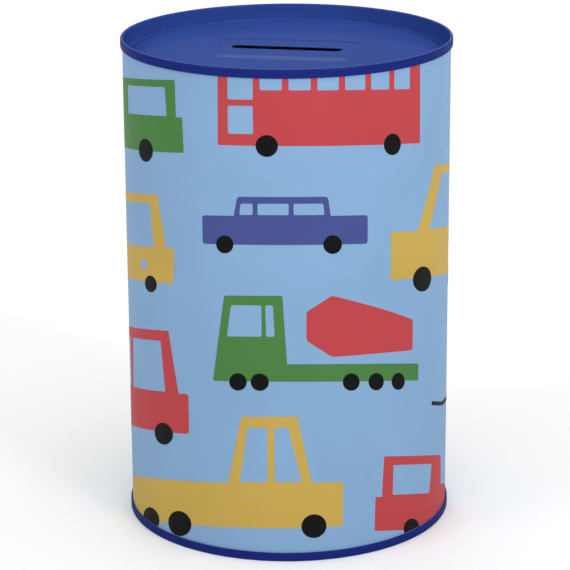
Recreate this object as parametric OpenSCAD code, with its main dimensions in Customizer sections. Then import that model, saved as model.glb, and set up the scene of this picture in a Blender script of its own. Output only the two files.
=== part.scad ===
// Tin money box: a rolled tinplate body closed at both ends by double seams, a recessed lid with a
// coin slot in a raised pad, and a base with a push-in plug that lets the coins out.
// Millimetres. Z is up, the origin is the centre of the ring that the tin stands on, and the slot
// runs along X.

/* [Tin] */
// Height over both seams
tin_h = 150; // [90:1:220]
// Outside diameter over the seams
seam_d = 100; // [80:1:140]
// Thickness of the tinplate
plate_t = 0.18; // [0.16:0.01:0.22]
// Space left between folded layers of plate
fold_gap = 0.02; // [0.02:0.01:0.04]
// Height of each double seam
seam_h = 2.7; // [2.6:0.1:3.4]

/* [Ends] */
// Depth of the flat panel below the rim, on the lid and on the base
panel_depth = 4.7; // [4.2:0.1:7]
// Depth of the groove round the panel, below the panel
groove_depth = 0.5; // [0.3:0.1:0.7]
// Width of the groove, from the foot of the wall to the panel
groove_w = 2.8; // [2.6:0.1:4]
// How far the wall of an end leans inwards between the seam and the groove
wall_lean = 0.2; // [0.1:0.1:0.8]

/* [Coin slot] */
// Length of the slot, between its round ends
slot_l = 34; // [26:0.5:34.5]
// Width of the slot
slot_w = 4.8; // [4.2:0.1:5.2]
// Length of the raised pad round the slot
pad_l = 46; // [45.5:0.5:58]
// Width of the raised pad
pad_w = 30; // [26:0.5:38]
// Height of the pad above the panel
pad_rise = 0.5; // [0.2:0.1:0.8]
// Corner radius of the pad
pad_r = 6; // [6:0.5:9]
// Width of the slope round the pad
pad_slope = 4; // [2:0.1:4.2]

/* [Base and plug] */
// Diameter of the hole in the base that the plug closes
hole_d = 38; // [32:1:44]
// Height of the turned-in neck round the hole
neck_h = 1.8; // [1.2:0.1:3]
// Distance of the stiffening bead's centre from the axis
bead_r = 35; // [31:1:38]
// Depth of the stiffening bead
bead_depth = 0.6; // [0.3:0.1:0.8]
// Diameter of the plug's flange
flange_d = 46; // [42:1:50]
// Thickness of the plug's flange
flange_t = 1.5; // [1:0.1:2]
// Height of the plug's skirt above the flange
skirt_h = 6.5; // [5:0.5:10]
// Wall thickness of the plug
plug_wall = 1.5; // [1.2:0.1:2.5]
// Width of the finger bar across the plug
bar_w = 4; // [3:0.5:6]
// Gap between the plug's sealing ribs and the neck
rib_gap = 0.05; // [0.02:0.01:0.1]

/* [Side seam] */
// Width of the folded seam down the back of the body
side_seam_w = 4.5; // [3:0.5:6]
// Width of the fine line that the fold leaves outside
side_line_w = 0.3; // [0.2:0.05:0.5]

/* [Colours] */
// Lacquer of the lid and the base
end_colour = "#2b3f9b"; // [#2b3f9b, #1f7a3d, #b3262e]
// Ground colour of the printed body
body_colour = "#8ab0d5"; // [#8ab0d5, #e9d8a6, #cfd8dc]

/* [Hidden] */
$fn = 128;

// Radii of the middle of each layer in a double seam, from the inside out.
layer = plate_t + fold_gap;
wall_r = seam_d / 2 - plate_t / 2; // outer wall of the seam
body_hook_r = wall_r - layer;      // end of the body, folded down
end_hook_r = wall_r - 2 * layer;   // end of the lid or base, folded in and up
body_r = wall_r - 3 * layer;       // wall of the body
chuck_r = wall_r - 4 * layer;      // wall of the lid or base inside the body

// Depths below the rim of a seam, measured to the middle of the plate.
rim_mid = plate_t / 2;
rim_bend = 1.7 * layer;                      // leaves a narrow flat to stand on
fold_foot = seam_h - plate_t / 2;            // lowest point of the seam's fold
seal_t = 0.14;                               // thickness of the sealing ring
body_top = rim_mid + layer + seal_t + fold_gap; // highest point of the body's fold
hook_cover = 1.2;                            // overlap of the two hooks
body_hook_end = seam_h - 3 * layer;
end_hook_end = body_hook_end - hook_cover;

panel_mid = panel_depth + plate_t / 2;
groove_mid = panel_mid + groove_depth;
groove_outer_r = chuck_r - wall_lean;
groove_inner_r = groove_outer_r - groove_w;
wall_foot_bend = 0.6;
groove_run = 2 * groove_depth;               // width of the groove's slope beside the panel
groove_bend = 1.2;
bend_r = 0.35;                               // usual bend of pressed plate, at its middle
bead_flat = 1;                               // half width of the bead's flat floor
bead_run = 1.2;                              // width of each of the bead's slopes
side_seam_end = 1;                           // from the groove of an end to the side seam's fold
side_line_end = 0.4;                         // from an end seam to the side seam's line

bend_steps = 5;
pad_join = 1.4;                              // flat plate carried past each bend of the pad
pad_bend = 3 * pad_slope;                    // bends of the pad's edge, well rounded
overlap = 0.001;                             // joins the parts of the lid

// ---- Folded sheet: a path of [x, y, bend radius] becomes a strip of plate.

function unit(v) = v / norm(v);
function left_of(v) = [-v[1], v[0]];
function xy(p) = [p[0], p[1]];

// Points of the round bend at corner b of a path that comes from a and goes on to c.
function bend(a, b, c) =
    let (u = unit(xy(a) - xy(b)), v = unit(xy(c) - xy(b)),
         half = acos(u * v) / 2,
         centre = xy(b) + unit(u + v) * b[2] / sin(half),
         first = xy(b) + u * b[2] / tan(half) - centre,
         turn = 180 - 2 * half,
         way = cross(u, v) > 0 ? -1 : 1)
    [for (i = [0 : bend_steps]) let (q = way * turn * i / bend_steps)
        centre + [first[0] * cos(q) - first[1] * sin(q), first[0] * sin(q) + first[1] * cos(q)]];

function bent(path) = [for (i = [0 : len(path) - 1])
    each (path[i][2] > 0 ? bend(path[i - 1], path[i], path[i + 1]) : [xy(path[i])])];

// The path moved sideways by d.
function beside(points, d) =
    let (last = len(points) - 1)
    [for (i = [0 : last])
        let (before = left_of(unit(i == 0 ? points[1] - points[0] : points[i] - points[i - 1])),
             after = left_of(unit(i == last ? points[i] - points[i - 1] : points[i + 1] - points[i])),
             middle = unit(before + after))
        points[i] + middle * d / (middle * before)];

function reversed(list) = [for (i = [len(list) - 1 : -1 : 0]) list[i]];

module strip(path) {
    points = bent(path);
    polygon(concat(beside(points, plate_t / 2), reversed(beside(points, -plate_t / 2))));
}

// ---- Paths. Those of the ends are [radius, depth below the rim, bend radius].

// The wall of an end and its share of the seam, from the foot of the wall outwards.
function end_seam() = [
    [groove_outer_r, groove_mid, wall_foot_bend],
    [chuck_r, seam_h, 2],
    [chuck_r, rim_mid, rim_bend],
    [wall_r, rim_mid, rim_bend],
    [wall_r, fold_foot, layer * 0.98],
    [end_hook_r, fold_foot, layer * 0.98],
    [end_hook_r, end_hook_end, 0]];

function groove() = [
    [groove_inner_r, panel_mid, groove_bend],
    [groove_inner_r + groove_run, groove_mid, groove_bend]];

function lid_path() = concat([[0, panel_mid, 0]], groove(), end_seam());

function base_path() =
    let (neck_r = hole_d / 2 + plate_t / 2)
    concat([
        [neck_r, panel_mid + neck_h, 0],
        [neck_r, panel_mid, bend_r],
        [bead_r - bead_flat - bead_run, panel_mid, bend_r],
        [bead_r - bead_flat, panel_mid + bead_depth, bend_r],
        [bead_r + bead_flat, panel_mid + bead_depth, bend_r],
        [bead_r + bead_flat + bead_run, panel_mid, bend_r]], groove(), end_seam());

// The body's share of one seam, as depths below the rim.
function body_hook() = [
    [body_r, body_top, layer * 0.98],
    [body_hook_r, body_top, layer * 0.98],
    [body_hook_r, body_hook_end, 0]];

// Both hooks and the wall between them, as heights.
function body_path() = concat(
    reversed([for (p = body_hook()) [p[0], p[1], p[2]]]),
    [for (p = body_hook()) [p[0], tin_h - p[1], p[2]]]);

// ---- Shapes that go round a rectangle.

module rounded(l, w, r) {
    square([l - 2 * r, w], center = true);
    square([l, w - 2 * r], center = true);
    for (x = [-1, 1], y = [-1, 1])
        translate([x * (l / 2 - r), y * (w / 2 - r)]) circle(r);
}

// Carries the drawing beside it round a rectangle of l by w, its X pointing outwards.
module round_frame(l, w) {
    for (i = [0 : 3]) {
        across = i % 2 == 0 ? l : w;
        along = i % 2 == 0 ? w : l;
        rotate([0, 0, 90 * i]) translate([across / 2, along / 2, 0]) {
            rotate_extrude(angle = 90) children();
            rotate([90, 0, 0]) linear_extrude(height = along) children();
        }
    }
}

// ---- Sub-parts

module side_seam_fold() {
    fold_t = 3 * plate_t;
    turn = side_seam_w / body_r * 180 / PI;
    clear_of_ends = groove_mid + plate_t + side_seam_end;
    rotate([0, 0, 90 - turn / 2]) rotate_extrude(angle = turn)
        translate([body_r - fold_t, clear_of_ends])
            square([fold_t, tin_h - 2 * clear_of_ends]);
}

module side_seam_line() {
    line_depth = plate_t / 3;
    turn = side_line_w / body_r * 180 / PI;
    rotate([0, 0, 90 - turn / 2]) rotate_extrude(angle = turn)
        translate([body_r + plate_t / 2 - line_depth, seam_h + side_line_end])
            square([1, tin_h - 2 * (seam_h + side_line_end)]);
}

module tin_body() color(body_colour) difference() {
    union() {
        rotate_extrude() strip(body_path());
        side_seam_fold();
    }
    side_seam_line();
}

// The raised pad's sloping side, and the flat pad with the slot punched through it.
module slot_pad() {
    top = -pad_rise;
    inset = pad_slope + pad_join - overlap;
    translate([0, 0, tin_h - panel_mid]) mirror([0, 0, 1]) {
        round_frame(pad_l - 2 * pad_r, pad_w - 2 * pad_r) strip([
            [pad_r - pad_slope - pad_join, top, 0],
            [pad_r - pad_slope, top, pad_bend],
            [pad_r, 0, pad_bend],
            [pad_r + pad_join, 0, 0]]);
        translate([0, 0, top - plate_t / 2]) linear_extrude(height = plate_t) difference() {
            rounded(pad_l - 2 * inset, pad_w - 2 * inset, pad_r - inset);
            square([slot_l - slot_w, slot_w], center = true);
            for (x = [-1, 1]) translate([x * (slot_l - slot_w) / 2, 0]) circle(slot_w / 2);
        }
    }
}

module slotted_lid() color(end_colour) {
    cut_out = pad_join - overlap;
    difference() {
        translate([0, 0, tin_h]) mirror([0, 0, 1]) rotate_extrude() strip(lid_path());
        translate([0, 0, tin_h - panel_mid - plate_t]) linear_extrude(height = 2 * plate_t)
            rounded(pad_l + 2 * cut_out, pad_w + 2 * cut_out, pad_r + cut_out);
    }
    slot_pad();
}

module base() color(end_colour) rotate_extrude() strip(base_path());

// Rubber lining between the rim and the body's fold, inside a seam.
module seam_seal() color("#3c3c3c") {
    seal_w = 1.4 * layer;
    rotate_extrude() translate([end_hook_r - seal_w / 2, plate_t + fold_gap]) square([seal_w, seal_t]);
}

module lid_seam_seal() translate([0, 0, tin_h]) mirror([0, 0, 1]) seam_seal();

module base_seam_seal() seam_seal();

module base_plug() color("#26282c") {
    seat = panel_depth - 0.1; // upper face of the flange, just under the panel
    foot = seat - flange_t;
    top = seat + skirt_h;
    flange_r = flange_d / 2;
    rib_r = hole_d / 2 - rib_gap;
    rib_h = 0.7;
    rib_pitch = 1.2;
    rib_out = 0.4;
    skirt_r = rib_r - rib_out;
    cup_r = skirt_r - plug_wall;
    ceiling = top - plug_wall;
    foot_edge = 0.5;          // chamfers
    seat_edge = 0.3;
    nose_edge = 0.8;
    root = 0.2;               // how far the bar reaches into the cup's wall and ceiling
    difference() {
        rotate_extrude() polygon([
            [0, foot], [flange_r - foot_edge, foot], [flange_r, foot + foot_edge],
            [flange_r, seat - seat_edge], [flange_r - seat_edge, seat],
            [skirt_r, seat],
            for (i = [0 : 2]) let (z = seat + rib_out + rib_pitch * i) each [
                [skirt_r, z], [rib_r, z + rib_h / 3], [rib_r, z + rib_h * 2 / 3], [skirt_r, z + rib_h]],
            [skirt_r, top - nose_edge], [skirt_r - nose_edge, top], [0, top]]);
        translate([0, 0, foot - 1]) cylinder(r = cup_r, h = ceiling - foot + 1);
    }
    translate([0, 0, foot]) intersection() {
        translate([-bar_w / 2, -flange_r, 0]) cube([bar_w, flange_d, ceiling - foot + root]);
        cylinder(r = cup_r + root, h = ceiling - foot + root);
    }
}

tin_body();
slotted_lid();
base();
lid_seam_seal();
base_seam_seal();
base_plug();
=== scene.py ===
import math

import bmesh
import bpy
from mathutils import Matrix, Vector
from mathutils.geometry import delaunay_2d_cdt


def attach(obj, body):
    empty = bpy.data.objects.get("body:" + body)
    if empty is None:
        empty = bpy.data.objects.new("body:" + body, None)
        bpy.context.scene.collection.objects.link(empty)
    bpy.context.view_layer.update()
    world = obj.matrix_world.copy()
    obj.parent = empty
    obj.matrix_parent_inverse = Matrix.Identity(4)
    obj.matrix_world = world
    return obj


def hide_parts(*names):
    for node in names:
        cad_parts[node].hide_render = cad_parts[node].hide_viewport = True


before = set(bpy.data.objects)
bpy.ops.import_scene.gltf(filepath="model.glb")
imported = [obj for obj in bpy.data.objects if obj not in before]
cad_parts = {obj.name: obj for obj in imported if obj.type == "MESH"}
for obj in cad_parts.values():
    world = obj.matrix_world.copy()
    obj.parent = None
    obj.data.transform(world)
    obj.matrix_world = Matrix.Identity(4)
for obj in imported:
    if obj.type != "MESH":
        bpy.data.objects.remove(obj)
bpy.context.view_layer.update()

MM = 0.001

# ---- Sizes of the tin in mm, as in the CAD part.

TIN_H = 150.0
SEAM_D = 100.0
PLATE = 0.18
GAP = 0.02
SEAM_H = 2.7
PANEL_DEPTH = 4.7
GROOVE_DEPTH = 0.5
GROOVE_W = 2.8
WALL_LEAN = 0.2
SLOT_L, SLOT_W = 34.0, 4.8
PAD_L, PAD_W, PAD_RISE, PAD_R, PAD_SLOPE, PAD_JOIN = 46.0, 30.0, 0.5, 6.0, 4.0, 1.4
HOLE_D, NECK_H = 38.0, 1.8
BEAD_R, BEAD_DEPTH, BEAD_FLAT, BEAD_RUN = 35.0, 0.6, 1.0, 1.2
FLANGE_D, FLANGE_T, SKIRT_H, PLUG_WALL, BAR_W = 46.0, 1.5, 6.5, 1.5, 4.0
RIB_GAP, RIB_OUT, RIB_H, RIB_PITCH, RIBS = 0.05, 0.4, 0.7, 1.2, 3
SIDE_SEAM_W, SIDE_LINE_W = 4.5, 0.3

LAYER = PLATE + GAP
WALL_R = SEAM_D / 2 - PLATE / 2
BODY_HOOK_R = WALL_R - LAYER
END_HOOK_R = WALL_R - 2 * LAYER
BODY_R = WALL_R - 3 * LAYER
CHUCK_R = WALL_R - 4 * LAYER
SEAL_T = 0.14
BODY_TOP = PLATE / 2 + LAYER + SEAL_T + GAP
FOLD_FOOT = SEAM_H - PLATE / 2
BODY_HOOK_END = SEAM_H - 3 * LAYER
END_HOOK_END = BODY_HOOK_END - 1.2
PANEL_MID = PANEL_DEPTH + PLATE / 2
GROOVE_MID = PANEL_MID + GROOVE_DEPTH
GROOVE_OUT_R = CHUCK_R - WALL_LEAN
GROOVE_IN_R = GROOVE_OUT_R - GROOVE_W
BEND = 0.35
GROOVE_BEND = 1.2
RIM_BEND = 1.7 * LAYER
HOOK_BEND = 0.98 * LAYER         # a fold that lies back on its own plate
PAD_BEND = 3 * PAD_SLOPE
SKIN_R = BODY_R + PLATE / 2      # outside of the printed wall

STEPS = 240                      # facets round the tin
FACET = 2 * math.pi / STEPS
SHARP = math.radians(35)         # edges that turn more than this are shaded sharp


# ---- Folded plate

def unit(v):
    return v / v.length


def bent(path, steps=7):
    """A path of (x, y, bend radius) as points, with a round bend at each corner."""
    points = []
    for i, (x, y, r) in enumerate(path):
        b = Vector((x, y))
        if r == 0:
            points.append(b)
            continue
        u = unit(Vector(path[i - 1][:2]) - b)
        v = unit(Vector(path[i + 1][:2]) - b)
        half = math.acos(u.dot(v)) / 2
        centre = b + unit(u + v) * (r / math.sin(half))
        first = b + u * (r / math.tan(half)) - centre
        way = -1 if u.x * v.y - u.y * v.x > 0 else 1
        turn = math.pi - 2 * half
        for k in range(steps + 1):
            q = way * turn * k / steps
            points.append(centre + Vector((first.x * math.cos(q) - first.y * math.sin(q),
                                           first.x * math.sin(q) + first.y * math.cos(q))))
    return points


def supported(points):
    """Adds a point near both ends of each long straight, so that smooth shading keeps it straight."""
    reach, longest = 0.12, 1.0
    out = [points[0]]
    for a, b in zip(points, points[1:]):
        if (b - a).length > longest:
            step = unit(b - a) * reach
            out += [a + step, b - step]
        out.append(b)
    return out


def beside(points, d):
    """The path moved sideways by d."""
    out = []
    last = len(points) - 1
    for i, p in enumerate(points):
        before = unit(p - points[i - 1]) if i else unit(points[1] - p)
        after = unit(points[i + 1] - p) if i < last else unit(p - points[i - 1])
        before = Vector((-before.y, before.x))
        after = Vector((-after.y, after.x))
        middle = unit(before + after)
        out.append(p + middle * (d / middle.dot(before)))
    return out


def faces_of(path):
    """The two faces of the plate along a path: the deeper one first."""
    points = supported(bent(path))
    return beside(points, PLATE / 2), beside(points, -PLATE / 2)


# ---- Rings round the axis: a circle, or a rectangle with round corners.

def circle_ring(r, z):
    """STEPS points evenly round a circle, from +X."""
    return [Vector((r * math.cos(FACET * i), r * math.sin(FACET * i), z)) for i in range(STEPS)]


def box_ring(half_x, half_y, r, z):
    """STEPS points evenly along a rectangle's outline, from +X: corner centres at half_x, half_y."""
    arc = math.pi * r / 2
    quarter = half_x + half_y + arc
    points = []
    for i in range(STEPS):
        turn, k = divmod(i, STEPS // 4)
        d = quarter * k / (STEPS // 4)
        first, second = (half_y, half_x) if turn % 2 == 0 else (half_x, half_y)
        if d < first:
            p = Vector((second + r, d))
        elif d < first + arc:
            q = (d - first) / r
            p = Vector((second + r * math.cos(q), first + r * math.sin(q)))
        else:
            p = Vector((second - (d - first - arc), first + r))
        for _ in range(turn):
            p = Vector((-p.y, p.x))
        points.append(Vector((p.x, p.y, z)))
    return points


def link_mesh(name, bm):
    mesh = bpy.data.meshes.new(name)
    bm.to_mesh(mesh)
    bm.free()
    obj = bpy.data.objects.new(name, mesh)
    bpy.context.collection.objects.link(obj)
    return obj


def new_object(name, bm, materials, body):
    """A smooth-shaded object that rides on a body. The mesh's sharp edges are shaded sharp."""
    for f in bm.faces:
        f.smooth = True
    for e in bm.edges:
        if len(e.link_faces) == 2 and e.calc_face_angle(0) > SHARP:
            e.smooth = False
    obj = link_mesh(name, bm)
    for m in materials:
        obj.data.materials.append(m)
    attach(obj, body)
    return obj


def loft(rings, closed=True, paint=None):
    """Joins rings of equal length. paint(i) is the material index between rings i and i + 1."""
    bm = bmesh.new()
    rows = [[bm.verts.new(p * MM) for p in ring] for ring in rings]
    n = len(rows[0])
    pairs = len(rows) if closed else len(rows) - 1
    for i in range(pairs):
        a, b = rows[i], rows[(i + 1) % len(rows)]
        for k in range(n):
            f = bm.faces.new((a[k], a[(k + 1) % n], b[(k + 1) % n], b[k]))
            f.material_index = paint(i) if paint else 0
    if not closed:
        bm.faces.new(rows[0])
        bm.faces.new(reversed(rows[-1]))
    bmesh.ops.recalc_face_normals(bm, faces=bm.faces)
    return bm


# ---- Materials

def srgb(r, g, b):
    """A screen colour, 0 to 255, as linear light."""
    def one(c):
        c /= 255
        return c / 12.92 if c <= 0.04045 else ((c + 0.055) / 1.055) ** 2.4
    return one(r), one(g), one(b)


class Paint:
    """A Principled material with noise-driven colour, roughness and bump."""

    def __init__(self, name, metallic=0.0, coat=0.0, coat_rough=0.1, specular=0.5):
        self.material = bpy.data.materials.new(name)
        self.material.use_nodes = True
        self.tree = self.material.node_tree
        self.shader = self.tree.nodes["Principled BSDF"]
        self.shader.inputs["Metallic"].default_value = metallic
        self.shader.inputs["Coat Weight"].default_value = coat
        self.shader.inputs["Coat Roughness"].default_value = coat_rough
        self.shader.inputs["Specular IOR Level"].default_value = specular
        self.place = self.node("ShaderNodeTexCoord").outputs["Object"]

    def node(self, kind, **values):
        n = self.tree.nodes.new(kind)
        for key, value in values.items():
            setattr(n, key, value)
        return n

    def link(self, a, b):
        self.tree.links.new(a, b)

    def noise(self, size_mm, detail=3.0, stretch=(1, 1, 1)):
        """Noise whose features are about size_mm across."""
        mapping = self.node("ShaderNodeMapping")
        mapping.inputs["Scale"].default_value = stretch
        self.link(self.place, mapping.inputs["Vector"])
        n = self.node("ShaderNodeTexNoise")
        n.inputs["Scale"].default_value = 1 / (size_mm * MM)
        n.inputs["Detail"].default_value = detail
        self.link(mapping.outputs["Vector"], n.inputs["Vector"])
        return n.outputs["Fac"]

    def ramp(self, source, stops):
        r = self.node("ShaderNodeValToRGB")
        while len(r.color_ramp.elements) < len(stops):
            r.color_ramp.elements.new(0.5)
        for element, (at, value) in zip(r.color_ramp.elements, stops):
            element.position = at
            element.color = (*value, 1) if isinstance(value, tuple) else (value, value, value, 1)
        self.link(source, r.inputs["Fac"])
        return r.outputs["Color"]

    def mix(self, factor, a, b):
        """The colours a and b, each an output or a plain colour, mixed by the output factor."""
        m = self.node("ShaderNodeMix", data_type="RGBA")
        self.link(factor, m.inputs["Factor"])
        for socket, value in ((m.inputs[6], a), (m.inputs[7], b)):
            if isinstance(value, tuple):
                socket.default_value = (*value, 1)
            else:
                self.link(value, socket)
        return m.outputs[2]

    def math(self, kind, *values):
        m = self.node("ShaderNodeMath", operation=kind)
        for socket, value in zip(m.inputs, values):
            self.link(value, socket)
        return m.outputs["Value"]

    def across(self, low, high, kind="LINEAR"):
        """0 to 1 from the radius low to the radius high, in mm from the tin's axis."""
        split = self.node("ShaderNodeSeparateXYZ")
        self.link(self.place, split.inputs["Vector"])
        squares = [self.math("MULTIPLY", split.outputs[axis], split.outputs[axis]) for axis in "XY"]
        m = self.node("ShaderNodeMapRange", interpolation_type=kind)
        m.inputs["From Min"].default_value = low * MM
        m.inputs["From Max"].default_value = high * MM
        self.link(self.math("SQRT", self.math("ADD", *squares)), m.inputs["Value"])
        return m.outputs["Result"]

    def colour(self, output):
        self.link(output, self.shader.inputs["Base Color"])

    def rough(self, source, low, high):
        self.link(self.ramp(source, [(0.3, low), (0.7, high)]), self.shader.inputs["Roughness"])

    def bump(self, layers):
        """layers: (height output, depth in mm)"""
        normal = None
        for height, depth in layers:
            b = self.node("ShaderNodeBump")
            b.inputs["Strength"].default_value = 1.0
            b.inputs["Distance"].default_value = depth * MM
            self.link(height, b.inputs["Height"])
            if normal is not None:
                self.link(normal, b.inputs["Normal"])
            normal = b.outputs["Normal"]
        self.link(normal, self.shader.inputs["Normal"])


def shade(colour, factor):
    return tuple(min(1.0, c * factor) for c in colour)


def print_ink(name, colour):
    """Ink printed on tinplate under a thin varnish: even, a little cloudy, with a faint orange peel."""
    p = Paint(name, specular=0.0, coat=0.2, coat_rough=0.24)
    base = p.ramp(p.noise(22, 4), [(0.3, shade(colour, 0.965)), (0.7, shade(colour, 1.03))])
    specks = p.ramp(p.noise(0.35, 2), [(0.62, 0.0), (0.8, 0.10)])
    p.colour(p.mix(specks, base, shade(colour, 0.86)))
    p.rough(p.noise(9, 5), 0.36, 0.46)
    p.bump([(p.noise(1.6, 2), 0.006), (p.noise(30, 1), 0.02)])
    return p.material


def end_lacquer(name, colour, painted_band_shade):
    """Satin stove lacquer on the lid and base, with painted shade darkening the outside of the seams."""
    p = Paint(name, specular=0.0, coat=0.14, coat_rough=0.18)
    base = p.ramp(p.noise(16, 4), [(0.3, shade(colour, 0.94)), (0.7, shade(colour, 1.05))])
    # The crown of the seams is painted a little paler: a painted highlight.
    crown = p.across(CHUCK_R + 0.1, SEAM_D / 2 - 0.1)
    crown_highlight = p.ramp(crown, [(0.0, 0.0), (0.3, 0.09), (0.7, 0.09), (1.0, 0.0)])
    base = p.mix(crown_highlight, base, srgb(190, 196, 205))
    # Painted shade: the outside of the seams gets a darker copy of the lacquer.
    base = p.mix(p.across(SEAM_D / 2 - 0.4, SEAM_D / 2 - 0.05, "SMOOTHSTEP"), base, painted_band_shade)
    scuffs = p.ramp(p.noise(2.2, 6, (1, 6, 1)), [(0.66, 0.0), (0.84, 0.06)])
    p.colour(p.mix(scuffs, base, shade(colour, 1.3)))
    p.rough(p.noise(6, 5), 0.27, 0.4)
    p.bump([(p.noise(1.2, 2), 0.006), (p.noise(0.5, 6, (1, 14, 1)), 0.002)])
    return p.material


def bare_tin(name):
    """Bright tinplate, with the fine lines of the rolling mill."""
    p = Paint(name, metallic=1.0)
    lines = p.noise(0.5, 4, (1, 1, 0.03))
    p.colour(p.ramp(lines, [(0.3, srgb(176, 178, 180)), (0.7, srgb(208, 208, 204))]))
    p.rough(p.noise(4, 5), 0.24, 0.4)
    p.bump([(lines, 0.002)])
    return p.material


def moulded_plastic(name, colour):
    """Soft moulded plastic with a fine matt grain and faint flow marks."""
    p = Paint(name, specular=0.45)
    p.colour(p.ramp(p.noise(7, 5), [(0.3, shade(colour, 0.85)), (0.7, shade(colour, 1.2))]))
    p.rough(p.noise(2, 4), 0.42, 0.58)
    p.bump([(p.noise(0.3, 3), 0.012), (p.noise(9, 2), 0.03)])
    return p.material


def rubber(name, colour):
    """Dull sealing rubber, a little uneven."""
    p = Paint(name, specular=0.25)
    p.colour(p.ramp(p.noise(1.5, 5), [(0.3, shade(colour, 0.8)), (0.7, shade(colour, 1.25))]))
    p.rough(p.noise(0.8, 4), 0.7, 0.9)
    p.bump([(p.noise(0.2, 3), 0.01)])
    return p.material


GROUND = srgb(122, 156, 191)
INKS = {
    "red": srgb(172, 62, 67),
    "green": srgb(68, 116, 60),
    "yellow": srgb(182, 153, 74),
    "violet": srgb(63, 73, 131),
    "black": srgb(9, 9, 11),
}
BLUE = srgb(42, 66, 136)
# A darker blue for the outside of the seams: painted shade.
SHADED_BAND_BLUE = srgb(18, 33, 106)

ground_print = print_ink("ground_print", GROUND)
# A darkened copy of the ground: painted shade of the side seam's gap.
painted_fold_shade = print_ink("painted_fold_shade", shade(GROUND, 0.3))
blue_lacquer = end_lacquer("blue_lacquer", BLUE, SHADED_BAND_BLUE)
tin = bare_tin("bare_tinplate")
plug_plastic = moulded_plastic("plug_plastic", srgb(38, 40, 44))
seal_rubber = rubber("seal_rubber", srgb(60, 60, 60))


# ---- The printed body

def body_angles():
    """Even steps round the tin, with closer ones at the side seam, at +Y."""
    angles = [FACET * i for i in range(STEPS)]
    fold = SIDE_SEAM_W / 2
    for mm in (fold + 0.12, fold, SIDE_LINE_W, SIDE_LINE_W / 2, SIDE_LINE_W / 4):
        for side in (-1, 1):
            angles.append(math.pi / 2 + side * mm / BODY_R)
    angles = sorted(angles)
    return [a for i, a in enumerate(angles) if i == 0 or a - angles[i - 1] > 1e-5]


def make_body():
    hook = [(BODY_R, BODY_TOP, HOOK_BEND), (BODY_HOOK_R, BODY_TOP, HOOK_BEND),
            (BODY_HOOK_R, BODY_HOOK_END, 0)]
    path = list(reversed(hook)) + [(r, TIN_H - z, bend) for r, z, bend in hook]
    points = bent(path, 6)
    # Rings where the side seam's line and fold begin and end, and a few between.
    line_end, fold_end, step = SEAM_H + 0.4, GROOVE_MID + PLATE + 1, 0.1
    marks = [line_end - step / 2, line_end + step, fold_end - step, fold_end + step]
    marks += [TIN_H / 8 * k for k in range(1, 8)]
    marks += [TIN_H - m for m in marks[:4]]
    for m in sorted(marks):
        at = next(i for i, p in enumerate(points) if abs(p.x - BODY_R) < 1e-4 and p.y > m)
        points.insert(at, Vector((BODY_R, m)))
    inner, outer = beside(points, PLATE / 2), beside(points, -PLATE / 2)
    if inner[len(inner) // 2].x > outer[len(outer) // 2].x:
        inner, outer = outer, inner
    angles = body_angles()
    sections = outer + list(reversed(inner))
    n_out = len(outer)
    rings = []
    for i, p in enumerate(sections):
        ring = []
        for a in angles:
            r = p.x
            off = abs(a - math.pi / 2) * BODY_R
            on_wall = abs(p.x - BODY_R) < PLATE
            if on_wall and i < n_out and off <= SIDE_LINE_W / 2 + 0.001:
                if line_end < p.y < TIN_H - line_end:
                    r -= PLATE / 3 * (1 if off < SIDE_LINE_W / 3 else 0.6)
            if on_wall and i >= n_out and off <= SIDE_SEAM_W / 2 + 0.001:
                if fold_end < p.y < TIN_H - fold_end:
                    r -= 2 * PLATE
            ring.append(Vector((r * math.cos(a), r * math.sin(a), p.y)))
        rings.append(ring)
    bm = loft(rings, paint=lambda i: 0 if i < n_out - 1 else 1)
    obj = new_object("printed_body", bm, [ground_print, tin, painted_fold_shade], "tin")
    # The print stops at the side seam's fold, where a fine dark line is painted: painted shade of the
    # fold's gap.
    for face in obj.data.polygons:
        x, y, z = face.center / MM
        on_line = y > 0 and abs(x) < SIDE_LINE_W / 2 and line_end < z < TIN_H - line_end
        if face.material_index == 0 and on_line:
            face.material_index = 2
    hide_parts("tin_body")


# ---- The lid and the base

def end_seam():
    """From the groove up the inner wall, over the rim and round the body's hook."""
    return [(GROOVE_OUT_R, GROOVE_MID, 0.6), (CHUCK_R, SEAM_H, 2.0), (CHUCK_R, PLATE / 2, RIM_BEND),
            (WALL_R, PLATE / 2, RIM_BEND), (WALL_R, FOLD_FOOT, HOOK_BEND),
            (END_HOOK_R, FOLD_FOOT, HOOK_BEND), (END_HOOK_R, END_HOOK_END, 0)]


def groove():
    """The groove's inner side. Its outer side is the foot of the inner wall."""
    return [(GROOVE_IN_R, PANEL_MID, GROOVE_BEND),
            (GROOVE_IN_R + 2 * GROOVE_DEPTH, GROOVE_MID, GROOVE_BEND)]


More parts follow.
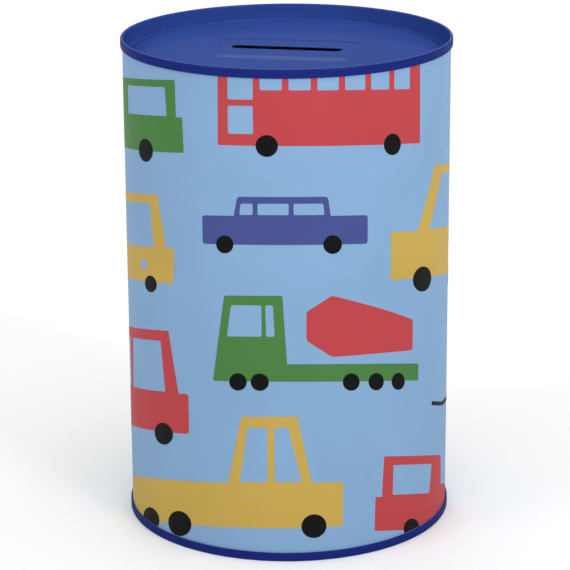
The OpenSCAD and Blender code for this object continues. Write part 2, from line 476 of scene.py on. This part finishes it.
def make_lid():
    top = PANEL_MID - PAD_RISE
    edge = [(SLOT_W / 2, top, 0), (SLOT_W / 2 + 0.3, top, 0)]
    slope = [(PAD_R - PAD_SLOPE - PAD_JOIN, top, 0), (PAD_R - PAD_SLOPE, top, PAD_BEND),
             (PAD_R, PANEL_MID, PAD_BEND), (PAD_R + PAD_JOIN, PANEL_MID, 0)]
    round_part = [(GROOVE_IN_R - 6, PANEL_MID, 0)] + groove() + end_seam()
    under, over = [], []
    for kind, path in (("slot", edge), ("pad", slope), ("round", round_part)):
        deep, high = faces_of(path)
        for side, points in ((under, deep), (over, high)):
            for p in points:
                z = TIN_H - p.y
                if kind == "slot":
                    side.append(box_ring(SLOT_L / 2 - SLOT_W / 2, 0, p.x, z))
                elif kind == "pad":
                    side.append(box_ring(PAD_L / 2 - PAD_R, PAD_W / 2 - PAD_R, p.x, z))
                else:
                    side.append(circle_ring(p.x, z))
    rings = over + list(reversed(under))
    tin_side = range(len(over), len(rings) - 1)      # the slot's cut edge is lacquered too
    bm = loft(rings, paint=lambda i: 1 if i in tin_side else 0)
    obj = new_object("slotted_lid_plate", bm, [blue_lacquer, tin], "tin")
    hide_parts("slotted_lid")


def make_base():
    neck_r = HOLE_D / 2 + PLATE / 2
    foot, crest = BEAD_FLAT + BEAD_RUN, PANEL_MID + BEAD_DEPTH
    bead = [(BEAD_R - foot, PANEL_MID, BEND), (BEAD_R - BEAD_FLAT, crest, BEND),
            (BEAD_R + BEAD_FLAT, crest, BEND), (BEAD_R + foot, PANEL_MID, BEND)]
    path = [(neck_r, PANEL_MID + NECK_H, 0), (neck_r, PANEL_MID, BEND)] + bead + groove() + end_seam()
    inside, outside = faces_of(path)
    rings = [circle_ring(p.x, p.y) for p in outside]
    n = len(rings)
    rings += [circle_ring(p.x, p.y) for p in reversed(inside)]
    bm = loft(rings, paint=lambda i: 0 if i < n else 1)
    obj = new_object("base_plate", bm, [blue_lacquer, tin], "tin")
    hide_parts("base")


# ---- The plug

def make_plug():
    seat = PANEL_DEPTH - 0.1         # the flange stops just short of the panel
    rib_r = HOLE_D / 2 - RIB_GAP
    skirt_r = rib_r - RIB_OUT
    cup_r = skirt_r - PLUG_WALL
    foot, top = seat - FLANGE_T, seat + SKIRT_H
    ceiling = top - PLUG_WALL
    path = [(0.01, ceiling, 0), (cup_r, ceiling, 0.8), (cup_r, foot, 0.4), (FLANGE_D / 2, foot, 0.6),
            (FLANGE_D / 2, seat, 0.4), (skirt_r, seat, 0.2)]
    for i in range(RIBS):
        z = seat + 0.4 + RIB_PITCH * i
        path += [(skirt_r, z, 0), (rib_r, z + RIB_H / 3, 0.08), (rib_r, z + RIB_H * 2 / 3, 0.08),
                 (skirt_r, z + RIB_H, 0)]
    path += [(skirt_r, top, 0.8), (0.01, top, 0)]
    points = supported(bent(path, 5))
    bm = loft([circle_ring(p.x, p.y) for p in points], closed=False)
    plug = new_object("push_in_plug", bm, [plug_plastic], "plug")

    # The grip bar runs a little way into the cup's wall and ceiling, and is joined to them.
    bm = bmesh.new()
    bmesh.ops.create_cube(bm, size=1)
    sunk = 0.4
    high = ceiling - foot + sunk
    for v in bm.verts:
        v.co = Vector((v.co.x * BAR_W, v.co.y * 2 * (cup_r + sunk),
                       (v.co.z + 0.5) * high + foot + 0.35)) * MM
    edges = [e for e in bm.edges if all(v.co.z < (foot + 1) * MM for v in e.verts)
             and abs(e.verts[0].co.x - e.verts[1].co.x) < 1e-7]
    bmesh.ops.bevel(bm, geom=edges, offset=0.7 * MM, segments=4, profile=0.5, affect="EDGES")
    bar = link_mesh("grip_bar", bm)
    join = plug.modifiers.new("bar", "BOOLEAN")
    join.operation = "UNION"
    join.solver = "EXACT"
    join.object = bar
    shown = bpy.context.evaluated_depsgraph_get()
    merged = bpy.data.meshes.new_from_object(plug.evaluated_get(shown))
    plug.modifiers.clear()
    plug.data = merged
    bpy.data.objects.remove(bar)
    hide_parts("base_plug")


# ---- The print. Each vehicle is drawn flat, in mm from the middle of its underside, and then laid
# ---- on the wall. add and cut are closed outlines: windows are cut out and show the ground. The
# ---- outlines in wheels are printed black.

def slab(u0, w0, u1, w1, lean0=0.0, lean1=0.0, r=0.5):
    """A four-sided shape whose upper corners lean sideways by lean0 and lean1."""
    return soft([(u0, w0), (u1, w0), (u1 + lean1, w1), (u0 + lean0, w1)], r)


def soft(corners, r=0.5):
    """Rounds the corners of an outline."""
    out = []
    n = len(corners)
    for i, c in enumerate(corners):
        b, a, d = Vector(c), Vector(corners[i - 1]), Vector(corners[(i + 1) % n])
        reach = min(r, (a - b).length / 2.5, (d - b).length / 2.5)
        p, q = b + unit(a - b) * reach, b + unit(d - b) * reach
        out += [p * (1 - t) ** 2 + b * 2 * t * (1 - t) + q * t * t for t in (0, 0.34, 0.67, 1)]
    return out


def disc(u, w, r, wide=1.0):
    """A wheel or lamp of radius r, wide times as wide as it's high."""
    turns = [2 * math.pi * i / 28 for i in range(28)]
    return [Vector((u + wide * r * math.cos(t), w + r * math.sin(t))) for t in turns]


def bus(length=65.0, height=27.0, windows=6):
    """A long bus with a row of windows, and its door at the left."""
    half = length / 2
    roof, post = height - 3.4, 1.9
    cut = [slab(3.2 - half, 3.4, 10.7 - half, 11.6), slab(3.2 - half, 13.4, 10.7 - half, roof)]
    first, last = 12.7 - half, half - 5
    pitch = (last - first + post) / windows
    cut += [slab(first + pitch * i, 16.2, first + pitch * (i + 1) - post, roof) for i in range(windows)]
    return {"add": [slab(-half, 0, half, height, 0.3, -0.4)], "cut": cut,
            "wheels": [disc(14.6 - half, 0, 3.2), disc(half - 11.8, 0, 3.2)]}


def van(back=40.0):
    """A box van whose front, on the right, ends in a short bonnet."""
    return {"add": [slab(-back, 0, 15, 21.5, 0.4, -0.5), slab(10, 0, 17.5, 10.5, 0, -0.4)],
            "cut": [slab(-13, 10.8, 11, 19.4, 0, -0.6)],
            "wheels": [disc(u, 0.2, 3.5, 1.2) for u in (0, 6 - back)]}


def minibus(back=34.0):
    """A small bus with a leaning windscreen and one round lamp, facing right."""
    return {"add": [slab(-back, 0, 14.5, 10.8, 0, 0.8), slab(-back, 10, 12, 27, 0.5, -4)],
            "cut": [slab(-20, 10.8, 5.8, 24.3, 0, -1.8), slab(3.5 - back, 10.8, -23, 24.3),
                    disc(-0.5, 5.2, 1.7, 1.2)],
            "wheels": [disc(u, -0.6, 2.6, 1.3) for u in (3.5, 6 - back)]}


def saloon():
    """A long low car."""
    return {"add": [slab(-25, 0, 25, 8.6, 0, 0, 0.9), slab(-15, 8, 13.5, 14.3, 1.2, -0.9, 0.9)],
            "cut": [slab(-13.2, 8.9, -9.2, 12.3, 0.4, 0), slab(-7.8, 8.9, 1.2, 12.3),
                    slab(2.6, 8.9, 11.6, 12.3, 0, -0.4)],
            "wheels": [disc(-17.8, 0, 2.7), disc(14, 0, 2.8)]}


def tall_truck():
    """A high cab with a leaning windscreen on the left."""
    return {"add": [slab(-18, 0, 36, 14.6), slab(-7, 14, 32, 34.5, 10, -0.5)],
            "cut": [slab(-0.3, 14.8, 28, 31.8, 9, -0.5)],
            "wheels": [disc(u, -0.4, 3.9, 1.3) for u in (-3.6, 28)]}


def flat_truck():
    """A cab and a low bed, for a mixer drum or a load."""
    return {"add": [slab(-34, 0, -11, 26.3, 4, -1.6), slab(-12, 0, 34, 5.4)],
            "cut": [slab(-29.3, 13.8, -18.7, 23.4, 1.4, 0), slab(-17.4, 13.8, -14.9, 23.4, -0.2, -0.4)],
            "wheels": [disc(u, -0.2, 2.7) for u in (-26, -19.4, 8, 16.4, 24.8)]}


def drum():
    """A mixer drum on the flat truck's bed."""
    return {"add": [soft([(2, 7.6), (31, 9.6), (31, 19.2), (2, 26.4), (-5.6, 21.4), (-5.6, 12.6)], 0.9)]}


def small_car(back=36.0):
    """A tall hatchback facing right. A short one has a single side window."""
    if back < 30:
        windows = [slab(8 - back, 12.9, 7, 28.9, 2.6, -1.8)]
    else:
        windows = [slab(-16, 12.9, 7, 28.9, 1.2, -1.8), slab(8 - back, 12.9, -19.5, 28.9, 2.6, 0)]
    return {"add": [slab(-back, 0, 16.8, 12.6, 0, 0, 1.2), slab(4 - back, 12, 13, 32.2, 3, -4)],
            "cut": windows,
            "wheels": [disc(u, -0.6, 3.5, 1.3) for u in (5.6, 5 - back)]}


def pickup():
    """A long low bed with a narrow tall cab near its right end."""
    return {"add": [slab(-46, 0, 41, 14.2), slab(6, 13.8, 31.5, 35.3, 4.4, -4.4)],
            "cut": [slab(9.8, 14.6, 18.2, 31.8, 2.5, 0), slab(20.3, 14.6, 28.4, 31.8, 0, -4)],
            "wheels": [disc(-27, 0.6, 3.9, 1.4), disc(-12, 0.2, 4.1, 1.2), disc(32, 0.4, 3.8)]}


def short_truck():
    """A small cab on the left with a low tray behind it."""
    return {"add": [slab(-17.8, 10, 15.5, 24, 0.8, -0.8), slab(-20.4, 0, 26, 11, 0.3, 0),
                    slab(12, 10, 26, 14.5)],
            "cut": [slab(-13.6, 11.6, 5, 21.2, 0.2, 1.4)],
            "wheels": [disc(u, 0.4, 3.2, 1.2) for u in (-5, 17)]}


def loader():
    """A loader with a black fork in front of it, to the left, on an arm that rises to the cab."""
    fork = soft([(-26, 2.3), (-16, 2.3), (-2, 5.4), (-2, 7), (-16.6, 3.6), (-26, 3.6)], 0.3)
    return {"add": [slab(-3, 0, 19, 11), slab(1, 10, 14, 24, 0, -1)],
            "cut": [slab(3.4, 11.6, 11.4, 21.6, 0, -0.7)],
            "wheels": [disc(1.5, -0.2, 3.2), disc(14, -0.2, 3.2), fork]}


def load_box():
    """A box on the flat truck's bed."""
    return {"add": [slab(-7, 6.4, 31, 20)]}


class Sheet:
    """Flat shapes laid on the printed wall as closed films of ink."""

    LOW, HIGH = SEAM_H + 0.05, TIN_H - SEAM_H - 0.05
    EDGE = math.radians(178.8) * SKIN_R     # the print ends just short of the side seam
    TURN = 2 * math.pi * SKIN_R
    OUT, IN = 0.02, 0.01                    # the film's two faces, beside the height it's laid at

    def __init__(self):
        self.films = {name: bmesh.new() for name in INKS}
        self.normals = {name: [] for name in INKS}

    def lay(self, ink, add, cut, place, lift):
        """place is (angle, height, slope, arch, half length, mirrored). The angle and slope are in
        degrees, and the angle runs from -Y towards +X."""
        angle, height, slope, arch, half, mirrored = place

        def on_wall(shape):
            out = []
            for i, a in enumerate(shape):
                b = shape[(i + 1) % len(shape)]
                parts = max(1, math.ceil((b - a).length / 3))      # no longer than 3 mm each
                for k in range(parts):
                    p = a.lerp(b, k / parts)
                    u = -p.x if mirrored else p.x
                    out.append(Vector((math.radians(angle) * SKIN_R + u,
                                       height + p.y + math.tan(math.radians(slope)) * u
                                       - arch * (u / half) ** 2)))
            area = sum(p.x * q.y - q.x * p.y for p, q in zip(out, out[1:] + out[:1]))
            return out if area > 0 else out[::-1]

        shapes = [on_wall(s) for s in add + cut]
        left = min(p.x for s in shapes for p in s)
        right = max(p.x for s in shapes for p in s)
        # The printed sheet: between the end seams, and between the two sides of the side seam.
        base = self.TURN * round((left + right) / 2 / self.TURN)
        low, high = base - self.EDGE, base + self.EDGE
        sheet = [Vector((low, self.LOW)), Vector((high, self.LOW)),
                 Vector((high, self.HIGH)), Vector((low, self.HIGH))]
        points, outlines = [], []
        for s in shapes + [sheet]:
            outlines.append(list(range(len(points), len(points) + len(s))))
            points += s
        # The films are cut along the wall's facets, to lie flat on them.
        lines = []
        step = FACET * SKIN_R
        for k in range(math.floor(left / step), math.ceil(right / step) + 1):
            lines.append((len(points), len(points) + 1))
            points += [Vector((k * step, -5.0)), Vector((k * step, TIN_H + 5))]
        verts, _, faces, _, _, origins = delaunay_2d_cdt(points, lines, outlines, 0, 1e-5, True)
        sheet_id = len(outlines) - 1
        kept = []
        for face, origin in zip(faces, origins):
            added = any(i < len(add) for i in origin)
            removed = any(len(add) <= i < sheet_id for i in origin)
            if sheet_id in origin and added and not removed:
                kept.append(face)
        self.film(ink, verts, kept, lift)

    def film(self, ink, verts, faces, lift):
        """Adds a closed film of those faces to the ink's mesh, and its normals to the ink's list."""
        bm, normals = self.films[ink], self.normals[ink]
        used = sorted({i for f in faces for i in f})

        def skin(r):
            out = {}
            for i in used:
                a = verts[i].x / SKIN_R - math.pi / 2
                # Points between two facet lines lie on the flat facet, as on the wall below.
                k = math.floor(a / FACET + 1e-6)
                t = (a - k * FACET) / FACET
                low, high = k * FACET, (k + 1) * FACET
                s = math.sin(t * FACET) / max(1e-9, math.sin(t * FACET) + math.sin((1 - t) * FACET))
                x = (1 - s) * math.cos(low) + s * math.cos(high)
                y = (1 - s) * math.sin(low) + s * math.sin(high)
                out[i] = bm.verts.new(Vector((r * x, r * y, verts[i].y)) * MM)
            return out

        def out_from(v):
            return Vector((v.co.x, v.co.y, 0)).normalized()

        outer, inner = skin(SKIN_R + lift + self.OUT), skin(SKIN_R + lift - self.IN)
        sides = {}
        for f in faces:
            bm.faces.new([outer[i] for i in f])
            normals.append([out_from(outer[i]) for i in f])
            bm.faces.new([inner[i] for i in reversed(f)])
            normals.append([-out_from(inner[i]) for i in reversed(f)])
            for a, b in zip(f, f[1:] + f[:1]):
                if (b, a) in sides:
                    del sides[(b, a)]
                else:
                    sides[(a, b)] = True
        for a, b in sides:
            face = bm.faces.new((outer[b], outer[a], inner[a], inner[b]))
            face.normal_update()
            normals.append([face.normal.copy()] * 4)

    def finish(self):
        for name, bm in self.films.items():
            obj = link_mesh("ink_" + name, bm)
            mesh = obj.data
            mesh.materials.append(print_ink("ink_" + name, INKS[name]))
            for f in mesh.polygons:
                f.use_smooth = True
            mesh.normals_split_custom_set([tuple(n) for face in self.normals[name] for n in face])
            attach(obj, "tin")


# ink, shape, angle, height, slope, arch, half length, mirrored
SCENE = [
    # The first row, under the lid.
    ("red", bus(), 25, 127.3, -3, 1.9, 32.5, False),
    ("green", van(), -46.5, 120.8, 9, 0.3, 20, False),
    ("green", minibus(30), 147, 116.5, 3, 0, 20, False),
    ("yellow", van(34), 213, 121, -3, 0, 20, True),
    # The second row.
    ("violet", saloon(), 10, 98.4, 0, 1.4, 25, False),
    ("yellow", minibus(), -49, 80.2, 11, 0.2, 15, False),
    ("yellow", tall_truck(), 69.5, 81.4, -11, 0.3, 18, False),
    ("red", bus(46, 25, 4), 147, 84, -2, 0, 24, True),
    ("green", short_truck(), 222, 88, 4, 0, 20, False),
    # The third row.
    ("green", flat_truck(), 23.7, 56.3, -4.3, 3.5, 34, False),
    ("red", small_car(), -45.5, 33.6, 12.5, 0.4, 17, False),
    ("green", loader(), 103, 28.6, -19, 0, 20, False),
    ("yellow", small_car(20), 156, 45, 4, 0, 20, False),
    ("violet", flat_truck(), 225, 50, -2, 0, 34, True),
    # The last row, over the base.
    ("yellow", pickup(), -17.5, 8.8, 8, 4.5, 41, False),
    ("red", short_truck(), 66, 1.4, -16.5, 0.9, 20, False),
    ("violet", short_truck(), 150, 8, -3, 0, 20, False),
    ("green", bus(60, 27, 5), 232, 10, 3, 0, 30, False),
]
LOADS = [
    ("red", drum(), 23.7, 56.3, -4.3, 3.5, 34, False),
    ("red", load_box(), 225, 50, -2, 0, 34, True),
]
INK_LIFT, BLACK_LIFT = 0.012, 0.045      # mm over the wall: the black is printed over the colours


def make_print():
    sheet = Sheet()
    for ink, shape, *place in SCENE + LOADS:
        sheet.lay(ink, shape["add"], shape.get("cut", []), place, INK_LIFT)
        for wheel in shape.get("wheels", []):
            sheet.lay("black", [wheel], [], place, BLACK_LIFT)
    sheet.finish()


# ---- Camera, light and floor

# The sine of the height above the horizon, and the light there. It's brightest overhead, and near
# the horizon it's close to the floor's white.
SKY = [(0.0, 0.82), (0.03, 0.72), (0.08, 0.44), (0.2, 0.45), (0.35, 0.58), (1.0, 1.0)]
SKY_STRENGTH = 1.02
WINDOW = Vector((0.45, -0.75, 0.5))     # towards the middle of the bright patch in front
WINDOW_EDGE, WINDOW_STRENGTH = 0.2, 0.55
AIM = Vector((0, 0, 0.18))              # where the lamps point, a little over the tin
FLOOR_HALF = 60                         # half the floor's side, so that its edge is far off


def camera():
    """A long lens, 11 degrees to the right of the front and looking 17 degrees down."""
    data = bpy.data.cameras.new("camera")
    data.lens = 160
    data.sensor_width = 36
    obj = bpy.data.objects.new("camera", data)
    bpy.context.collection.objects.link(obj)
    turn, away, high = math.radians(11), 749.8, 301.3
    pan, pitch, roll = 0.0012, math.radians(90 - 17.06), -0.0057
    place = Vector((away * math.sin(turn), -away * math.cos(turn), high)) * MM
    look = (Matrix.Rotation(turn + pan, 4, "Z") @ Matrix.Rotation(pitch, 4, "X")
            @ Matrix.Rotation(roll, 4, "Z"))
    obj.matrix_world = Matrix.Translation(place) @ look
    bpy.context.scene.camera = obj


def lamp(name, place, size, spread, power):
    """A soft box with a grid. The spread is in degrees and the power in watts."""
    data = bpy.data.lights.new(name, "AREA")
    data.shape = "RECTANGLE"
    data.size, data.size_y = size
    data.spread = math.radians(spread)
    data.energy = power
    obj = bpy.data.objects.new(name, data)
    bpy.context.collection.objects.link(obj)
    obj.location = place
    obj.rotation_euler = (AIM - obj.location).to_track_quat("-Z", "Y").to_euler()


def soft_sky():
    """Even studio light from above, with a wide bright patch in front, as from a window."""
    world = bpy.data.worlds.new("studio")
    world.use_nodes = True
    tree = world.node_tree
    direction = tree.nodes.new("ShaderNodeTexCoord").outputs["Generated"]
    split = tree.nodes.new("ShaderNodeSeparateXYZ")
    ramp = tree.nodes.new("ShaderNodeValToRGB")
    tree.links.new(direction, split.inputs["Vector"])
    tree.links.new(split.outputs["Z"], ramp.inputs["Fac"])
    while len(ramp.color_ramp.elements) < len(SKY):
        ramp.color_ramp.elements.new(0.5)
    for element, (height, light) in zip(ramp.color_ramp.elements, SKY):
        element.position = height
        element.color = (light, light, light, 1)
    toward = tree.nodes.new("ShaderNodeVectorMath")
    toward.operation = "DOT_PRODUCT"
    toward.inputs[1].default_value = WINDOW.normalized()
    tree.links.new(direction, toward.inputs[0])
    window = tree.nodes.new("ShaderNodeMapRange")
    window.interpolation_type = "SMOOTHSTEP"
    window.inputs["From Min"].default_value = WINDOW_EDGE
    window.inputs["To Max"].default_value = WINDOW_STRENGTH
    tree.links.new(toward.outputs["Value"], window.inputs["Value"])
    total = tree.nodes.new("ShaderNodeMath")
    tree.links.new(window.outputs["Result"], total.inputs[0])
    tree.links.new(ramp.outputs["Color"], total.inputs[1])
    background = tree.nodes["Background"]
    tree.links.new(total.outputs["Value"], background.inputs["Color"])
    background.inputs["Strength"].default_value = SKY_STRENGTH
    bpy.context.scene.world = world


def studio():
    soft_sky()
    bpy.context.scene.view_settings.view_transform = "Standard"
    lamp("key", (0.5, -0.45, 0.5), (0.3, 0.3), 28, 0.11)
    lamp("fill", (-0.5, -0.5, 0.5), (0.3, 0.3), 28, 0.065)
    lamp("back", (-0.22, 1.0, 0.76), (0.5, 0.2), 180, 1.0)
    bm = bmesh.new()
    bmesh.ops.create_grid(bm, x_segments=2, y_segments=2, size=FLOOR_HALF)
    floor = link_mesh("floor", bm)
    p = Paint("floor_paper", specular=0.1)
    p.colour(p.ramp(p.noise(60, 3), [(0.3, (0.955, 0.955, 0.955)), (0.7, (0.97, 0.97, 0.97))]))
    p.rough(p.noise(20, 3), 0.85, 0.95)
    floor.data.materials.append(p.material)


camera()
studio()
make_body()
make_lid()
make_base()
make_plug()
make_print()
for node, material in (("lid_seam_seal", seal_rubber), ("base_seam_seal", seal_rubber)):
    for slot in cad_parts[node].material_slots:
        slot.material = material
